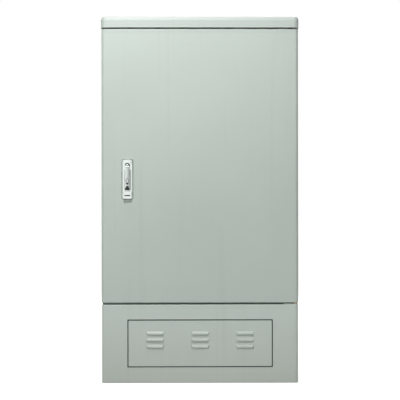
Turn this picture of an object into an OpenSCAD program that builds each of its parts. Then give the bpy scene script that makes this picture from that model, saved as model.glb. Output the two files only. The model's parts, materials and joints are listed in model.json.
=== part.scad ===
// Roadside utility cabinet: sheet steel housing with a roof cap, one full width door, a rod
// lock and a plinth with a louvred access panel. Millimetres, +Z up, front towards -Y.
// The origin is the centre of the four anchor bolts, on the ground.

/* [Cabinet] */
// Overall height, ground to roof
cabinet_h = 1400; // [1200:10:1600]
// Width of the door
door_w = 754; // [650:2:900]
// Depth of the plinth, front to back
plinth_d = 320; // [280:5:420]
// Height of the plinth
plinth_h = 300; // [270:5:360]
// Thickness of the sheet steel
sheet = 2; // [1.5:0.25:2.5]
// How much wider the door is than the shell, each side
shell_inset = 2; // [1:0.5:4]
// How much wider the door is than the plinth, each side
plinth_inset = 1; // [0.5:0.5:3]
// How far the shell's back stands inside the plinth's back
back_inset = 2; // [1:0.5:6]
// Width of the flanges round the plinth's top and foot
plinth_flange = 52; // [48:1:60]
// Thickness of the plinth's foot flange
foot_t = 4; // [3:0.5:6]

/* [Roof] */
// Height of the roof cap's skirt
roof_h = 41; // [34:1:60]
// How far the roof stands past the door, each side
roof_side = 2; // [1:0.5:6]
// How far the roof stands in front of the door
roof_front = 6; // [4:1:20]
// How far the roof stands behind the shell
roof_back = 3; // [2.5:0.5:10]
// Radius of the roof's vertical corners, seen from above
roof_r = 20; // [14:1:30]
// Height of the leaning band round the roof's top
roof_band = 12; // [8:1:14]
// How far that band leans in
roof_lean = 5.5; // [3:0.5:8]
// How far the shell reaches up inside the roof
roof_lap = 20; // [18:1:24]

/* [Door] */
// Depth of the door's folded edge
door_t = 27; // [26:0.5:34]
// Clearance between door and roof
door_gap_top = 4; // [3.5:0.5:8]
// Clearance between door and plinth
door_gap_foot = 7; // [6.5:0.5:10]
// Clearance between the door's folded edge and the shell
door_gap_back = 6.5; // [5:0.5:9]
// How far the door's face stands in front of the plinth
door_proud = 1; // [0:0.5:3]
// Radius of the vertical edges of door and plinth
edge_r = 13; // [10:1:16]
// Radius of the door's top and bottom edges
door_edge = 4; // [3:0.5:5]
// Width of the return folded in behind the door's edge
door_return = 14; // [10:1:15]
// From the door's edge in to the frame's rain lip
lip_inset = 34; // [33:1:44]
// Thickness of the foam gasket
gasket_t = 10; // [8:1:12]
// Width of the foam gasket
gasket_w = 10; // [8:1:14]
// Size of the screws that hold inner fittings, as shank radius
screw_r = 2.5; // [2:0.5:3]

/* [Hinges] */
// From the door's right edge in to the hinge axis
hinge_in = 12; // [11:0.5:13]
// From the door's face back to the hinge axis
hinge_back = 14; // [13:0.5:15]
// Radius of the hinge pins
pin_r = 5; // [4:0.5:6]
// Running clearance of pins and shafts, on the radius
run_fit = 0.06; // [0.02:0.01:0.1]
// Thickness of the hinge brackets
bracket_t = 4; // [3:0.5:4.5]

/* [Plinth panel] */
// Width of the louvred panel
panel_w = 550; // [420:5:600]
// Height of the louvred panel
panel_h = 177; // [150:1:190]
// Height of the panel's lower edge above ground
panel_z = 63.5; // [58:0.5:66]
// Clearance round the panel
panel_gap = 3; // [2:0.5:4]
// Depth of the panel's folded edge
panel_t = 14; // [12:1:18]
// Width of one louvre
louvre_w = 69; // [55:1:80]
// How far a louvre stands out
louvre_out = 5.5; // [4:0.5:7]
// Radius of a louvre's curved hood
louvre_r = 16; // [14:1:18]
// Distance between louvre columns
louvre_dx = 172; // [140:1:185]
// Distance between louvre rows
louvre_dz = 25; // [22:1:28]
// How far the middle louvre row sits above the panel's centre
louvre_lift = 9; // [-6:1:12]

/* [Lock] */
// From the door's left edge in to the lock's centre line
lock_in = 100; // [95:1:115]
// Height of the handle's spindle above ground
spindle_z = 832; // [700:2:900]
// Width of the lock plate
plate_w = 39; // [38:1:44]
// Height of the lock plate
plate_h = 149; // [147:1:156]
// Thickness of the lock plate
plate_t = 3; // [2.5:0.5:4]
// How far the plate's end blocks stand out from it
block_out = 12; // [9:0.5:13]
// Radius of the handle's round hub
hub_r = 8; // [7.5:0.25:8.5]
// Radius of the thrust washer under the hub
washer_r = 9.3; // [9:0.1:10]
// Width of the lever
lever_w = 23.5; // [20:0.5:25]
// Length of the lever from the spindle to its tip
lever_l = 95.5; // [90:0.5:97]
// Thickness of the lever
lever_t = 10.5; // [9:0.5:12]
// Radius of the key barrel
barrel_r = 4; // [3.5:0.25:4.5]
// Distance from the spindle down to the key barrel
barrel_drop = 56; // [50:1:60]
// Module of the pinion and racks
gear_m = 1.5; // [1.25:0.25:1.5]
// Teeth on the pinion
gear_n = 16; // [14:2:18]
// Width of the pinion's and racks' teeth
gear_w = 8; // [6:0.5:9]
// Radius of the locking rods
rod_r = 4; // [3:0.5:4.5]
// How far the rods reach through the frame
rod_reach = 15; // [10:1:18]

/* [Inside] */
// Width of the mounting plate
plate_in_w = 620; // [450:10:660]
// Height of the mounting plate
plate_in_h = 860; // [600:10:900]
// Thickness of the mounting plate
plate_in_t = 2.5; // [2:0.5:4]
// Length of the stand-offs behind the mounting plate
standoff_l = 36; // [25:1:50]
// Number of terminal blocks
terminals = 24; // [8:1:32]
// Pitch of the terminal blocks
terminal_pitch = 10; // [8:0.5:12]
// Number of cable glands
glands = 5; // [3:1:6]
// Radius of the cable passage in a gland
gland_r = 10; // [7:0.5:12]
// Distance between cable glands
gland_dx = 78; // [66:1:84]

/* [Hidden] */
$fn = 64;
eps = 0.01;

// Levels from the ground up
roof_z = cabinet_h - roof_h;
door_z0 = plinth_h + door_gap_foot;
door_z1 = roof_z - door_gap_top;
shell_top = roof_z + roof_lap;
lip_z0 = door_z0 + lip_inset;
lip_z1 = door_z1 - lip_inset;

// Levels from front to back
plinth_y0 = -plinth_d / 2;
door_y = plinth_y0 - door_proud;
door_back = door_y + door_t;
shell_y0 = door_back + door_gap_back;
shell_y1 = plinth_d / 2 - back_inset;
gasket_gap = 0.3;
lip_tip = door_y + sheet + gasket_t + gasket_gap;

// Half widths
shell_x = door_w / 2 - shell_inset;
plinth_x = door_w / 2 - plinth_inset;
lip_x = door_w / 2 - lip_inset;
roof_x = door_w / 2 + roof_side;

// Radius of the shell's two rear vertical edges, which follow the roof's
shell_r = roof_r - 4;

// Hinge axis
hinge_x = door_w / 2 - hinge_in;
hinge_y = door_y + hinge_back;
pin_in_door = 20;
bush_wall = 2;
bush_flange_t = 1.5;
bush_flange_r = pin_r + 5;
washer_t = door_gap_foot - bracket_t - bush_flange_t;
arm_z = roof_z + 1;
nose_r = 10;
hinge_screw_x = [hinge_x - 35, hinge_x - 19];
leg_screw_z = arm_z + 11;

// Anchor bolts
anchor_in_x = 36;
anchor_in_y = 30;
anchor_x = plinth_x - anchor_in_x;
anchor_y = plinth_d / 2 - anchor_in_y;
anchor_r = 7;

// Lock, seen from the spindle: x to the right, y inwards from the door's face, z up
lock_x = -door_w / 2 + lock_in;
lock_gasket_t = 1;
plate_y = -lock_gasket_t - plate_t;
plate_top = 22;
hub_washer_t = 1.2;
hub_gap = hub_washer_t + 0.2;
hub_base_t = 1.5;
shaft_r = 5;
hub_drop = hub_r - shaft_r - 0.6;
tongue_r = 5;
tongue_x = 4.8;
fork_gap = 0.2;
lift_r = 2;
lift_z = -5.5;
lift_y = plate_y - hub_gap - hub_base_t - 0.5 - tongue_r;
hub_front = lift_y - tongue_r - 0.5;
cam_room = 5;
lever_back = plate_y - cam_room;
lever_front = lever_back - lever_t;
block_x = 15.5;
block_bevel = 0.8;
shoulder_z = -block_x - 1;
neck_top = -12;
horn_z = hub_r + 0.4;
tip_gap = 3;
key_z = -barrel_drop;
cover_t = 1.2;
rivet_z = key_z - 12.5;
keyhole_y = lever_front + 1.6;
button_z = -87.5;
button_r = 9.5;
button_gap = 0.3;
button_travel = 3;
cam_t = 1.8;
cam_l = 13.8;
rail_x = lever_w / 2 + 0.45;
rail_w = 4;

// Gearbox behind the door skin
pitch_r = gear_m * gear_n / 2;
tooth_pitch = PI * gear_m;
backlash = 0.15;
rod_y = 22;
gear_y = rod_y - gear_w / 2;
rack_root = pitch_r + 1.1 * gear_m;
rack_back = rack_root + 2 * rod_r;
rod_x = (rack_root + rack_back) / 2;
rack_half = 32;
box_x = rack_back + 4;
box_z = 34;
box_y0 = gear_y - 6;
box_y1 = rod_y + gear_w / 2 + 1;
cover_plate_t = 2;
stroke = pitch_r * PI / 2;
guide_gap = 60;

// Mounting plate and what stands on it
plate_in_y = shell_y1 - sheet - standoff_l - plate_in_t;
plate_in_z = (door_z0 + door_z1) / 2 + 40;
standoff_r = 8;
din_h = 35;
din_depth = 7.5;
din_wall = 1;
din_l = plate_in_w - 60;
din_z = [plate_in_z + 240, plate_in_z - 40];
earth_z = plate_in_z - plate_in_h / 2 + 70;
earth_l = 300;
insulator_h = 28;

// Gland plate over the cable cut-out in the shell's floor
cut_x = 210;
cut_y = [-45, 75];
gland_plate_t = 3;
gland_y = (cut_y[0] + cut_y[1]) / 2;
gland_lap = [20, 15];
gland_screw_x = cut_x + gland_lap[0] / 2;
gland_screw_dy = 50;

// A rectangle with true round corners, centred
module round_rect(w, h, r) {
    square([w - 2 * r, h], center = true);
    square([w, h - 2 * r], center = true);
    for (x = [-1, 1], y = [-1, 1])
        translate([x * (w / 2 - r), y * (h / 2 - r)]) circle(r);
}

// A quarter of a disc in the first quadrant
module quarter(r) {
    intersection() {
        circle(r);
        square(r);
    }
}

// The edge round the top of a block whose corners have the radius r_v. The child is the
// edge's profile, e outward and h up from the block's core.
module rim(w, d, r_v, e, h) {
    linear_extrude(h) round_rect(w - 2 * e, d - 2 * e, r_v - e);
    for (s = [-1, 1]) {
        translate([w / 2 - r_v, s * (d / 2 - e), 0]) rotate([0, -90, 0])
            linear_extrude(w - 2 * r_v) scale([1, s]) mirror([1, -1]) children();
        translate([s * (w / 2 - e), -d / 2 + r_v, 0]) rotate([90, 0, 180])
            linear_extrude(d - 2 * r_v) scale([-s, 1]) children();
    }
    for (k = [0:3]) {
        sx = (k == 0 || k == 3) ? 1 : -1;
        sy = k < 2 ? 1 : -1;
        translate([sx * (w / 2 - r_v), sy * (d / 2 - r_v), 0])
            rotate_extrude(angle = 90, start = 90 * k) translate([r_v - e, 0]) children();
    }
}

// A block with round vertical corners and round top and bottom edges, base at z = 0
module rimmed_block(w, d, h, r_v, r_top, r_bottom = 0) {
    translate([0, 0, r_bottom]) linear_extrude(h - r_top - r_bottom) round_rect(w, d, r_v);
    translate([0, 0, h - r_top]) rim(w, d, r_v, r_top, r_top) quarter(r_top);
    if (r_bottom > 0) translate([0, 0, r_bottom]) mirror([0, 0, 1])
        rim(w, d, r_v, r_bottom, r_bottom) quarter(r_bottom);
}

// A block whose top edge is bevelled by c
module bevelled_block(w, d, h, r_v, c) {
    linear_extrude(h - c) round_rect(w, d, r_v);
    translate([0, 0, h - c]) rim(w, d, r_v, c, c) polygon([[0, 0], [c, 0], [0, c]]);
}

// A block whose upper band leans in, with a small bevel at its top
module leaning_block(w, d, h, r_v, lean, band) {
    linear_extrude(h - band) round_rect(w, d, r_v);
    translate([0, 0, h - band]) rim(w, d, r_v, lean, band)
        polygon([[-1, 0], [lean, 0], [1.5, band - 1.5], [0, band], [-1, band]]);
}

// A frame in the XZ plane: an outer rectangle less an inner one, t deep from y = 0
module frame_xz(x, z0, z1, t, border) {
    difference() {
        translate([-x, 0, z0]) cube([2 * x, t, z1 - z0]);
        translate([-x + border, -1, z0 + border])
            cube([2 * (x - border), t + 2, z1 - z0 - 2 * border]);
    }
}

// A cylinder along +Y
module rod_along_y(r, l) { rotate([-90, 0, 0]) cylinder(r = r, h = l); }

// A hexagon head screw along +Z: the head's underside is at z = 0 and the shank goes down
module hex_screw(r, l) {
    cylinder(r = 1.9 * r, h = 1.3 * r, $fn = 6);
    translate([0, 0, -l]) cylinder(r = r, h = l + eps);
}

// A hexagon nut with its bore along Z
module hex_nut(r, h) {
    difference() {
        cylinder(r = 1.9 * r, h = h, $fn = 6);
        translate([0, 0, -1]) cylinder(r = r + run_fit, h = h + 2);
    }
}

// Places children in the lock's own axes
module at_lock() { translate([lock_x, door_y, spindle_z]) children(); }

module at_hinge(z) { translate([hinge_x, hinge_y, z]) children(); }

// Roof

roof_w = 2 * roof_x;
roof_y0 = door_y - roof_front;
roof_d = shell_y1 + roof_back - roof_y0;
roof_y = roof_y0 + roof_d / 2;
roof_boss_x = roof_x - 60;
roof_boss_y = 100;
boss_r = 9;

module roof_cap() {
    color("#cbd6cd") {
        translate([0, roof_y, roof_z]) difference() {
            leaning_block(roof_w, roof_d, roof_h, roof_r, roof_lean, roof_band);
            translate([0, 0, -1]) leaning_block(roof_w - 2 * sheet, roof_d - 2 * sheet,
                roof_h + 1 - sheet, roof_r - sheet, roof_lean, roof_band);
        }
        for (x = [-1, 1], y = [-1, 1]) difference() {
            translate([x * roof_boss_x, y * roof_boss_y, shell_top])
                cylinder(r = boss_r, h = cabinet_h - sheet - shell_top);
            translate([x * roof_boss_x, y * roof_boss_y, shell_top - 1])
                cylinder(r = screw_r + 1.5 + run_fit, h = 13);
        }
    }
}

module roof_bolts() {
    color("silver") for (x = [-1, 1], y = [-1, 1])
        translate([x * roof_boss_x, y * roof_boss_y, shell_top - sheet]) mirror([0, 0, 1])
            hex_screw(screw_r + 1.5, sheet + 10);
}

// Housing

module cabinet_shell() {
    depth = shell_y1 - shell_y0;
    color("#b9c4bb") difference() {
        translate([0, 0, plinth_h]) linear_extrude(shell_top - plinth_h) shell_plan(0);
        translate([0, 0, plinth_h + sheet])
            linear_extrude(shell_top - plinth_h - 2 * sheet) shell_plan(sheet);
        translate([-cut_x, cut_y[0], plinth_h - 1])
            cube([2 * cut_x, cut_y[1] - cut_y[0], sheet + 2]);
        for (x = [-1, 1], y = [-1, 1]) {
            translate([x * roof_boss_x, y * roof_boss_y, shell_top - sheet - 1])
                cylinder(r = screw_r + 2, h = sheet + 2);
            translate([x * gland_screw_x, gland_y + y * gland_screw_dy, plinth_h - 1])
                cylinder(r = screw_r + run_fit, h = sheet + 2);
        }
    }
}

// Plan of the shell: round at the back, square at the front where the frame closes it
module shell_plan(t) {
    w = 2 * (shell_x - t);
    r = shell_r - t;
    y1 = shell_y1 - t;
    front = t > 0 ? shell_y0 - 1 : shell_y0;
    translate([-w / 2, front]) square([w, y1 - r - front]);
    translate([-w / 2 + r, front]) square([w - 2 * r, y1 - front]);
    for (x = [-1, 1]) translate([x * (w / 2 - r), y1 - r]) circle(r);
}

module door_frame() {
    x = shell_x - sheet;
    color("#b9c4bb") difference() {
        union() {
            difference() {
                translate([-x, shell_y0, plinth_h + sheet])
                    cube([2 * x, sheet, shell_top - plinth_h - 2 * sheet]);
                translate([-lip_x + sheet, shell_y0 - 1, lip_z0 + sheet])
                    cube([2 * (lip_x - sheet), sheet + 2, lip_z1 - lip_z0 - 2 * sheet]);
            }
            translate([0, lip_tip, 0])
                frame_xz(lip_x, lip_z0, lip_z1, shell_y0 + sheet - lip_tip, sheet);
        }
        translate([lock_x - rod_x, door_y + rod_y, lip_z1 - sheet - 1])
            cylinder(r = rod_r + 1, h = sheet + 2);
        translate([lock_x + rod_x, door_y + rod_y, lip_z0 - 1])
            cylinder(r = rod_r + 1, h = sheet + 2);
        for (sx = hinge_screw_x)
            translate([sx, shell_y0 - 1, leg_screw_z]) rod_along_y(screw_r + run_fit, sheet + 2);
    }
}

// Plinth

ledge_w = 18;
opening_x = panel_w / 2 + panel_gap;
opening_z0 = panel_z - panel_gap;
opening_z1 = panel_z + panel_h + panel_gap;
stud_r = 4;
stud_x = panel_w / 2 - 9;
stud_z = [panel_z + 9, panel_z + panel_h - 9];

module plinth() {
    w = 2 * plinth_x;
    y0 = plinth_y0;
    color("#b4bfb6") {
        difference() {
            rimmed_block(w, plinth_d, plinth_h, edge_r, 3);
            translate([0, 0, foot_t]) linear_extrude(plinth_h - foot_t - sheet)
                round_rect(w - 2 * sheet, plinth_d - 2 * sheet, edge_r - sheet);
            for (z = [-1, plinth_h - sheet - 1]) translate([0, 0, z])
                linear_extrude(foot_t + 2)
                    square([w - 2 * plinth_flange, plinth_d - 2 * plinth_flange],
                        center = true);
            translate([-opening_x, y0 - 1, opening_z0])
                cube([2 * opening_x, sheet + 2, opening_z1 - opening_z0]);
            for (x = [-1, 1], y = [-1, 1]) translate([x * anchor_x, y * anchor_y, -1])
                cylinder(r = anchor_r, h = foot_t + 2);
            for (sx = hinge_screw_x) translate([sx, hinge_y, plinth_h - sheet - 1])
                cylinder(r = screw_r + run_fit, h = sheet + 2);
        }
        difference() {
            translate([0, y0 + sheet, 0]) frame_xz(opening_x + sheet, opening_z0 - sheet,
                opening_z1 + sheet, panel_t, sheet + ledge_w);
            translate([-opening_x, y0, opening_z0])
                cube([2 * opening_x, panel_t, opening_z1 - opening_z0]);
            for (x = [-1, 1], z = stud_z) translate([x * stud_x, y0 + panel_t - 1, z])
                rod_along_y(stud_r + 0.5, sheet + 2);
        }
    }
}

// The half cylinder hood of a louvre, w wide with slanted ends. It reaches from the height
// low up to the curve and from the depth back out to the front.
module hood(r, w, low, back) {
    intersection() {
        translate([-w / 2 - 1, louvre_r - louvre_out, 0]) rotate([0, 90, 0])
            cylinder(r = r, h = w + 2);
        translate([0, 0, low]) linear_extrude(louvre_r - low)
            polygon([[-w / 2, back], [-w / 2, 0], [-w / 2 + louvre_out, -louvre_out],
                [w / 2 - louvre_out, -louvre_out], [w / 2, 0], [w / 2, back]]);
    }
}

module each_louvre() {
    for (i = [-1, 0, 1], k = [-1, 0, 1])
        translate([i * louvre_dx, plinth_y0, panel_z + panel_h / 2 + louvre_lift +
            k * louvre_dz])
            children();
}

module vent_panel() {
    hood_t = 1.2;
    mid_z = panel_z + panel_h / 2;
    color("#b4bfb6") {
        difference() {
            union() {
                translate([0, plinth_y0 + panel_t, mid_z]) rotate([90, 0, 0])
                    linear_extrude(panel_t) round_rect(panel_w, panel_h, 4);
                each_louvre() hood(louvre_r, louvre_w, 0, sheet / 2);
            }
            translate([0, plinth_y0 + panel_t - sheet, mid_z]) rotate([90, 0, 0])
                linear_extrude(panel_t - 2 * sheet)
                    round_rect(panel_w - 2 * sheet, panel_h - 2 * sheet, 2);
            translate([0, plinth_y0 + panel_t + 1, mid_z]) rotate([90, 0, 0])
                linear_extrude(sheet + 2)
                    square([panel_w - 2 * ledge_w, panel_h - 2 * ledge_w], center = true);
            each_louvre() hood(louvre_r - hood_t, louvre_w - 2 * hood_t, -1, sheet + 1);
        }
        for (x = [-1, 1], z = stud_z) translate([x * stud_x, plinth_y0 + panel_t - sheet, z])
            rod_along_y(stud_r, 22);
    }
}

module panel_wing_nuts() {
    color("silver") for (x = [-1, 1], z = stud_z)
        translate([x * stud_x, plinth_y0 + panel_t + sheet, z]) difference() {
            union() {
                rod_along_y(8, 7);
                translate([-17, 3, -1.5]) cube([34, 10, 3]);
            }
            translate([0, -1, 0]) rod_along_y(stud_r + run_fit, 16);
        }
}

module vent_screens() {
    w = louvre_w + 18;
    h = 2 * louvre_dz + 32;
    color("dimgray") for (i = [-1, 0, 1])
        translate([i * louvre_dx, plinth_y0 + sheet, panel_z + panel_h / 2 + louvre_lift + 5])
            difference() {
            translate([-w / 2, 0, -h / 2]) cube([w, 1, h]);
            for (x = [-1, 1], k = [-6:6]) translate([x * w / 4 - w / 5, -1, k * 5.6 - 1.5])
                cube([2 * w / 5, 3, 3]);
        }
}

// Cable entry

module each_gland() {
    for (i = [0:glands - 1]) translate([(i - (glands - 1) / 2) * gland_dx, gland_y,
        plinth_h + sheet]) children();
}

module gland_plate() {
    color("gainsboro") difference() {
        translate([-cut_x - gland_lap[0], cut_y[0] - gland_lap[1], plinth_h + sheet])
            cube([2 * (cut_x + gland_lap[0]), cut_y[1] - cut_y[0] + 2 * gland_lap[1],
                gland_plate_t]);
        each_gland() translate([0, 0, -1]) cylinder(r = gland_r + 4.2, h = gland_plate_t + 2);
        for (x = [-1, 1], y = [-1, 1])
            translate([x * gland_screw_x, gland_y + y * gland_screw_dy, plinth_h + sheet - 1])
                cylinder(r = screw_r + run_fit, h = gland_plate_t + 2);
    }
}

module gland_plate_screws() {
    color("silver") for (x = [-1, 1], y = [-1, 1])
        translate([x * gland_screw_x, gland_y + y * gland_screw_dy,
            plinth_h + sheet + gland_plate_t])
            hex_screw(screw_r, 12);
}

module gland_bodies() {
    color("#3a3f42") each_gland() difference() {
        union() {
            translate([0, 0, -16]) cylinder(r = gland_r + 4, h = 16 + gland_plate_t + eps);
            translate([0, 0, gland_plate_t]) cylinder(r = gland_r + 9, h = 7, $fn = 6);
            translate([0, 0, gland_plate_t + 7 - eps]) cylinder(r = gland_r + 5, h = 8);
        }
        translate([0, 0, -20]) cylinder(r = gland_r + 1, h = 60);
    }
}

module gland_locknuts() {
    color("#3a3f42") each_gland() translate([0, 0, -5]) difference() {
        cylinder(r = gland_r + 9, h = 5, $fn = 6);
        translate([0, 0, -1]) cylinder(r = gland_r + 4 + run_fit, h = 7);
    }
}

module gland_caps() {
    color("#3a3f42") each_gland() translate([0, 0, gland_plate_t + 7.2]) difference() {
        union() {
            cylinder(r = gland_r + 8.5, h = 10, $fn = 6);
            translate([0, 0, 10 - eps]) cylinder(r1 = gland_r + 6.5, r2 = gland_r + 2.5, h = 7);
        }
        translate([0, 0, -1]) cylinder(r = gland_r + 5.2, h = 9.2);
        cylinder(r = gland_r + 1, h = 20);
    }
}

module gland_seals() {
    color("#26282a") each_gland() translate([0, 0, gland_plate_t + 7]) difference() {
        cylinder(r = gland_r + 0.8, h = 14);
        translate([0, 0, -1]) cylinder(r = gland_r, h = 16);
    }
}

// Mounting plate and rails

rail_depth = 15;
rail_face = 30;
rail_y = shell_y0 + 50;
rail_z0 = plinth_h + 60;
rail_z1 = shell_top - 60;
rail_pitch = 25;

module side_rails() {
    count = floor((rail_z1 - rail_z0 - 30) / rail_pitch);
    color("gainsboro") for (s = [-1, 1]) difference() {
        translate([s * (shell_x - sheet - rail_depth / 2), rail_y + rail_face / 2, rail_z0])
            linear_extrude(rail_z1 - rail_z0) difference() {
                square([rail_depth, rail_face], center = true);
                translate([s * sheet, 0])
                    square([rail_depth, rail_face - 2 * sheet], center = true);
            }
        for (k = [0:count]) translate([s * (shell_x - sheet - rail_depth), rail_y +
            rail_face / 2, rail_z0 + 15 + k * rail_pitch]) cube([3 * sheet, 9, 9],
                center = true);
    }
}

module at_plate_corners() {
    for (x = [-1, 1], z = [-1, 1]) translate([x * (plate_in_w / 2 - 30), plate_in_y,
        plate_in_z + z * (plate_in_h / 2 - 30)]) children();
}

module mounting_plate() {
    color("gainsboro") difference() {
        translate([-plate_in_w / 2, plate_in_y, plate_in_z - plate_in_h / 2])
            cube([plate_in_w, plate_in_t, plate_in_h]);
        at_plate_corners() translate([0, -1, 0]) rod_along_y(stud_r + 0.4, plate_in_t + 2);
        for (x = [-1, 1], z = [-3:3]) translate([x * (plate_in_w / 2 - 12), plate_in_y - 1,
            plate_in_z + z * 100]) rod_along_y(3.5, plate_in_t + 2);
    }
}

module plate_standoffs() {
    color("silver") at_plate_corners() {
        translate([0, plate_in_t, 0]) rod_along_y(standoff_r, standoff_l);
        translate([0, -14, 0]) rod_along_y(stud_r, 15 + plate_in_t);
    }
}

module plate_nuts() {
    color("silver") at_plate_corners() rotate([90, 0, 0]) hex_nut(stud_r, 6);
}

// Top hat rail profile in the YZ plane: the flanges face the front
module din_profile() {
    flange = 5;
    channel = din_h - 2 * flange;
    union() {
        translate([din_depth - din_wall, -channel / 2]) square([din_wall, channel]);
        for (s = [-1, 1]) {
            translate([0, s * channel / 2 - (s > 0 ? din_wall : 0)])
                square([din_depth, din_wall]);
            translate([0, s > 0 ? channel / 2 - din_wall : -din_h / 2])
                square([din_wall, flange + din_wall]);
        }
    }
}

module din_rails() {
    color("silver") for (z = din_z) difference() {
        translate([-din_l / 2, plate_in_y - din_depth, z]) rotate([90, 0, 90])
            linear_extrude(din_l) din_profile();
        for (k = [-8:8]) translate([k * 30 - 9, plate_in_y - din_wall - 1, z - 3])
            cube([18, 3, 6]);
    }
}

terminal_t = terminal_pitch - 0.3;
terminal_x0 = -terminals * terminal_pitch / 2;

// Side outline of a terminal block, clipped over the rail's two flanges
module terminal_outline() {
    difference() {
        polygon([[-44, -13], [-36, -22], [2.5, -22], [2.5, 22], [-36, 22], [-44, 13]]);
        translate([-0.2, -din_h / 2 - 0.2]) square([din_wall + 0.4, din_h + 0.4]);
        translate([din_wall + 0.1, -din_h / 2 + 4.8]) square([5, din_h - 9.6]);
        for (s = [-1, 1]) translate([-38, s * 13.5]) circle(2.6);
        for (s = [-1, 1]) translate([-18, s * 12]) circle(3);
    }
}

module terminal_blocks() {
    color("#8f979c") for (i = [0:terminals - 1])
        translate([terminal_x0 + i * terminal_pitch, plate_in_y - din_depth, din_z[1]])
            rotate([90, 0, 90]) linear_extrude(terminal_t) terminal_outline();
}

module end_stops() {
    color("#2b2e30") for (x = [terminal_x0 - terminal_pitch - 2, -terminal_x0])
        translate([x, plate_in_y - din_depth, din_z[1]]) rotate([90, 0, 90])
            linear_extrude(terminal_pitch + 1) difference() {
                translate([-20, -24]) square([22.5, 48]);
                translate([-0.2, -din_h / 2 - 0.2]) square([din_wall + 0.4, din_h + 0.4]);
                translate([din_wall + 0.1, -din_h / 2 + 4.8]) square([5, din_h - 9.6]);
            }
}

clamp_y = 40;
clamp_z = plinth_h + 105;
clamp_w = 40;
clamp_lip = 12;

module cable_clamp_rail() {
    l = 2 * (shell_x - sheet);
    color("gainsboro") {
        translate([-l / 2 + 3, clamp_y, clamp_z]) rotate([90, 0, 90]) linear_extrude(l - 6)
            difference() {
                square([22, clamp_w], center = true);
                translate([1, 0]) square([22, clamp_w - 2 * sheet], center = true);
                translate([11 - sheet, 0])
                    square([sheet * 3, clamp_w - 2 * clamp_lip], center = true);
            }
        for (s = [-1, 1]) translate([s * (l / 2 - 1.5) - 1.5, clamp_y - 20, clamp_z - 35])
            cube([3, 40, 70]);
    }
}

module earth_bar() {
    y = plate_in_y - insulator_h - 5;
    color("#b87333") difference() {
        translate([-earth_l / 2, y, earth_z - 12.5]) cube([earth_l, 5, 25]);
        each_earth_screw() translate([0, -6, 0]) rod_along_y(screw_r + 0.5 + run_fit, 8);
        for (s = [-1, 1]) translate([s * (earth_l / 2 - 12), y - 1, earth_z])
            rod_along_y(3.2, 7);
    }
}

module each_earth_screw() {
    for (k = [0:9]) translate([(k - 4.5) * 24, plate_in_y - insulator_h, earth_z]) children();
}

module earth_insulators() {
    color("#8c2f26") for (s = [-1, 1]) translate([s * (earth_l / 2 - 12), plate_in_y, earth_z])
        rotate([90, 0, 0]) {
            cylinder(r1 = 13, r2 = 10, h = insulator_h / 2 + eps);
            translate([0, 0, insulator_h / 2]) cylinder(r1 = 10, r2 = 13, h = insulator_h / 2);
            translate([0, 0, insulator_h - eps]) cylinder(r = 3.1, h = 12);
        }
}

module earth_screws() {
    color("silver") each_earth_screw() translate([0, -5, 0]) rotate([90, 0, 0])
        hex_screw(screw_r + 0.5, 12);
}

// Hinges

module bracket_arm() {
    difference() {
        union() {
            at_hinge(0) cylinder(r = nose_r, h = bracket_t);
            translate([hinge_x - nose_r, hinge_y, 0])
                cube([2 * nose_r, shell_y0 - hinge_y, bracket_t]);
        }
        at_hinge(-1) cylinder(r = pin_r + 0.02, h = bracket_t + 2);
    }
}

module hinge_bracket_top() {
    x0 = hinge_x - 45;
    color("#9aa49c") {
        translate([0, 0, arm_z]) bracket_arm();
        difference() {
            translate([x0, shell_y0 - bracket_t, arm_z])
                cube([hinge_x + nose_r - x0, bracket_t, shell_top - sheet - arm_z]);
            for (sx = hinge_screw_x) translate([sx, shell_y0 - bracket_t - 1, leg_screw_z])
                rod_along_y(screw_r + run_fit, bracket_t + 2);
        }
    }
}

// A countersunk head: its face is at z = 0 and its cone goes down
module countersink(r, extra) {
    translate([0, 0, -r]) cylinder(r1 = r + extra, r2 = 2 * r + extra, h = r);
}

module hinge_bracket_bottom() {
    x0 = hinge_x - 45;
    color("#9aa49c") translate([0, 0, plinth_h]) difference() {
        union() {
            bracket_arm();
            translate([x0, hinge_y - nose_r + 2, 0])
                cube([hinge_x + 1 - x0, shell_y0 - hinge_y + nose_r - 2.2, bracket_t]);
        }
        at_hinge(-1) cylinder(r = pin_r + 0.02, h = bracket_t + 2);
        for (sx = hinge_screw_x) translate([sx, hinge_y, 0]) {
            translate([0, 0, -1]) cylinder(r = screw_r + run_fit, h = bracket_t + 2);
            translate([0, 0, bracket_t + eps]) countersink(screw_r, 0.1);
        }
    }
}

module hinge_pins() {
    color("silver") {
        at_hinge(door_z1 - pin_in_door)
            cylinder(r = pin_r, h = arm_z + bracket_t + eps - door_z1 + pin_in_door);
        at_hinge(arm_z + bracket_t) cylinder(r = pin_r + 3, h = 3);
        at_hinge(plinth_h) cylinder(r = pin_r, h = door_z0 + pin_in_door - plinth_h);
    }
}

module thrust_washer() {
    color("#c9a24a") at_hinge(plinth_h + bracket_t) difference() {
        cylinder(r = bush_flange_r, h = washer_t);
        translate([0, 0, -1]) cylinder(r = pin_r + run_fit, h = washer_t + 2);
    }
}

module hinge_screws() {
    color("silver") for (sx = hinge_screw_x) {
        translate([sx, shell_y0 - bracket_t, leg_screw_z]) rotate([90, 0, 0])
            hex_screw(screw_r, bracket_t + sheet + 4);
        translate([sx, hinge_y, plinth_h + bracket_t]) {
            countersink(screw_r, 0);
            translate([0, 0, -12]) cylinder(r = screw_r, h = 12 - screw_r + eps);
        }
    }
}

// Door

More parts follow.
